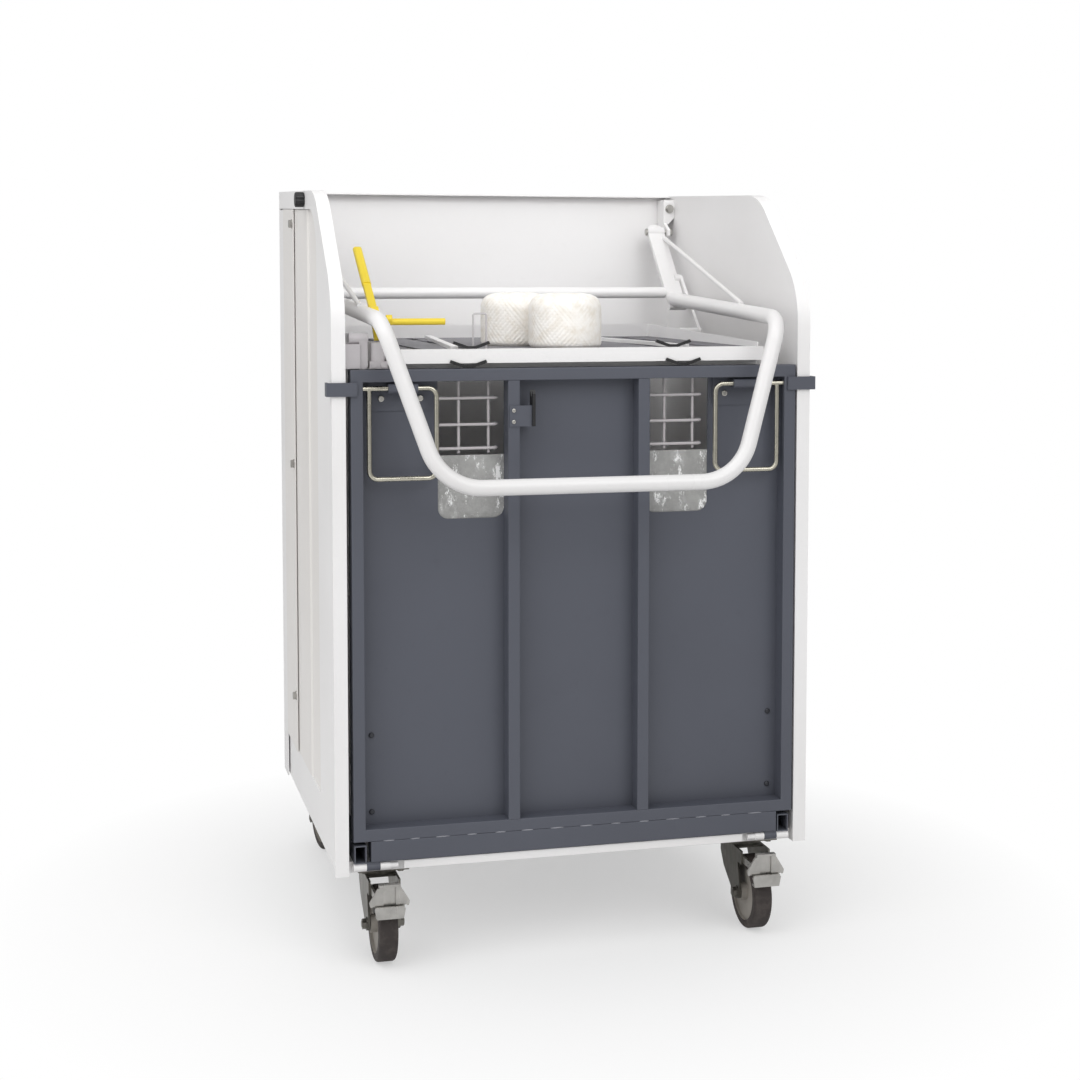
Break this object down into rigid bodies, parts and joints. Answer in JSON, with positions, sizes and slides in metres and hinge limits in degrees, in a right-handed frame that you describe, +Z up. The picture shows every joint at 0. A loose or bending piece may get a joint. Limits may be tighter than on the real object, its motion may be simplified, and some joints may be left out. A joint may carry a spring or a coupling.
{
  "type": "recycling baler",
  "caption": "Free-standing hand-worked baler on swivel castors with a pressing bow, a press plate on links, a drop-down front door and twine for tying bales.",
  "frame": {"origin": "on the floor under the middle of the whole machine", "axes": "+X to the right seen from the front, +Y to the back, +Z up; the door faces -Y"},
  "size_m": [0.8378, 0.837, 1.2889],
  "materials": {
    "white_paint": "semi-gloss",
    "grey_paint": "satin",
    "zinc_steel": "satin",
    "black_plastic": "matte",
    "clear_pane": "gloss",
    "yellow_paint": "semi-gloss",
    "twine": "matte",
    "castor_rubber": "matte"
  },
  "bodies": {
    "housing": {"wall_left": "white_paint", "wall_right": "white_paint", "side_cover_left": "white_paint", "side_cover_right": "white_paint", "back_panel": "white_paint", "floor_pan": "white_paint", "base_rail_left": "grey_paint", "base_rail_right": "grey_paint", "castor_bearers": "white_paint", "pivot_lug_left": "white_paint", "pivot_lug_right": "white_paint", "pivot_pins": "zinc_steel", "housing_screws": "zinc_steel", "body_knuckles": "white_paint", "castor_plates": "zinc_steel", "latch_stop": "zinc_steel"},
    "door": {"door_top_rail": "grey_paint", "door_bottom_rail": "grey_paint", "door_stile_left": "grey_paint", "door_stile_right": "grey_paint", "door_post_left": "grey_paint", "door_post_right": "grey_paint", "door_beam": "grey_paint", "door_panel": "grey_paint", "window_guards": "grey_paint", "window_panes": "clear_pane", "wall_hook_left": "grey_paint", "wall_hook_right": "grey_paint", "bail_bracket_left": "grey_paint", "bail_bracket_right": "grey_paint", "door_screws": "zinc_steel", "twine_cutter": "grey_paint", "cutter_blade": "black_plastic", "door_knuckles": "grey_paint"},
    "knob": {"side_knob": "black_plastic"},
    "bail_left": {"bail_left": "zinc_steel"},
    "bail_right": {"bail_right": "zinc_steel"},
    "bow": {"bow_tube": "white_paint", "bow_arm_left": "white_paint", "bow_arm_right": "white_paint", "cross_tube": "white_paint"},
    "press": {"press_frame": "white_paint", "press_pad": "white_paint", "latch_keeper": "zinc_steel", "twine_balls": "twine", "twine_guide": "zinc_steel", "twine_clips": "black_plastic"},
    "link_left": {"link_left": "white_paint"},
    "link_right": {"link_right": "white_paint"},
    "release": {"release_lever": "yellow_paint"},
    "fork_front_left": {"castor_fork_front_left": "zinc_steel"},
    "wheel_front_left": {"castor_wheel_front_left": "castor_rubber"},
    "fork_front_right": {"castor_fork_front_right": "zinc_steel"},
    "wheel_front_right": {"castor_wheel_front_right": "castor_rubber"},
    "fork_rear_left": {"castor_fork_rear_left": "zinc_steel"},
    "wheel_rear_left": {"castor_wheel_rear_left": "castor_rubber"},
    "fork_rear_right": {"castor_fork_rear_right": "zinc_steel"},
    "wheel_rear_right": {"castor_wheel_rear_right": "castor_rubber"},
    "pedal_left": {"brake_pedal_front_left": "zinc_steel"},
    "pedal_right": {"brake_pedal_front_right": "zinc_steel"}
  },
  "joints": [
    {"name": "door_hinge", "type": "hinge", "parent": "housing", "child": "door", "pos_m": [0.0039, -0.30405, 0.168], "axis": [1, 0, 0], "range_deg": [0, 2.8]},
    {"name": "bow_hinge", "type": "hinge", "parent": "housing", "child": "bow", "pos_m": [0.0039, 0.33845, 1.215], "axis": [-1, 0, 0], "range_deg": [0, 60]},
    {"name": "press_slide", "type": "slide", "parent": "housing", "child": "press", "axis": [0, 0, 1], "range_m": [0, 0.0985]},
    {"name": "link_left_pivot", "type": "hinge", "parent": "bow", "child": "link_left", "pos_m": [-0.3541, 0.24645, 1.121], "axis": [-1, 0, 0], "range_deg": [-78, 0]},
    {"name": "bail_left_swing", "type": "hinge", "parent": "door", "child": "bail_left", "pos_m": [-0.2866, -0.30355, 0.9465], "axis": [-1, 0, 0], "range_deg": [0, 20]},
    {"name": "link_right_pivot", "type": "hinge", "parent": "bow", "child": "link_right", "pos_m": [0.3619, 0.24645, 1.121], "axis": [-1, 0, 0], "range_deg": [-78, 0]},
    {"name": "bail_right_swing", "type": "hinge", "parent": "door", "child": "bail_right", "pos_m": [0.2994, -0.30355, 0.9465], "axis": [-1, 0, 0], "range_deg": [0, 20]},
    {"name": "release_swing", "type": "hinge", "parent": "bow", "child": "release", "pos_m": [-0.3096, -0.16355, 1.06512], "axis": [1, 0, 0], "range_deg": [0, 8]},
    {"name": "knob_turn", "type": "hinge", "parent": "housing", "child": "knob", "pos_m": [-0.4026, 0.01145, 1.259], "axis": [1, 0, 0], "continuous": true},
    {"name": "swivel_front_left", "type": "hinge", "parent": "housing", "child": "fork_front_left", "pos_m": [-0.3191, -0.23455, 0.14], "axis": [0, 0, 1], "continuous": true},
    {"name": "roll_front_left", "type": "hinge", "parent": "fork_front_left", "child": "wheel_front_left", "pos_m": [-0.3191, -0.27255, 0.0625], "axis": [1, 0, 0], "continuous": true},
    {"name": "swivel_front_right", "type": "hinge", "parent": "housing", "child": "fork_front_right", "pos_m": [0.3269, -0.23455, 0.14], "axis": [0, 0, 1], "continuous": true},
    {"name": "roll_front_right", "type": "hinge", "parent": "fork_front_right", "child": "wheel_front_right", "pos_m": [0.3269, -0.27255, 0.0625], "axis": [1, 0, 0], "continuous": true},
    {"name": "swivel_rear_left", "type": "hinge", "parent": "housing", "child": "fork_rear_left", "pos_m": [-0.3191, 0.31745, 0.14], "axis": [0, 0, 1], "continuous": true},
    {"name": "roll_rear_left", "type": "hinge", "parent": "fork_rear_left", "child": "wheel_rear_left", "pos_m": [-0.32439, 0.35508, 0.0625], "axis": [-0.9903, -0.1392, 0], "continuous": true},
    {"name": "swivel_rear_right", "type": "hinge", "parent": "housing", "child": "fork_rear_right", "pos_m": [0.3269, 0.31745, 0.14], "axis": [0, 0, 1], "continuous": true},
    {"name": "roll_rear_right", "type": "hinge", "parent": "fork_rear_right", "child": "wheel_rear_right", "pos_m": [0.3269, 0.35545, 0.0625], "axis": [-1, 0, 0], "continuous": true},
    {"name": "pedal_left_tilt", "type": "hinge", "parent": "fork_front_left", "child": "pedal_left", "pos_m": [-0.3191, -0.28455, 0.124], "axis": [1, 0, 0], "range_deg": [0, 6]},
    {"name": "pedal_right_tilt", "type": "hinge", "parent": "fork_front_right", "child": "pedal_right", "pos_m": [0.3269, -0.28455, 0.124], "axis": [1, 0, 0], "range_deg": [0, 6]}
  ],
  "couplings": [
    {"joint": "press_slide", "follows": "bow_hinge", "m_per_rad": 0.093583},
    {"joint": "link_left_pivot", "follows": "bow_hinge", "ratio": -1.293},
    {"joint": "link_right_pivot", "follows": "bow_hinge", "ratio": -1.293}
  ]
}
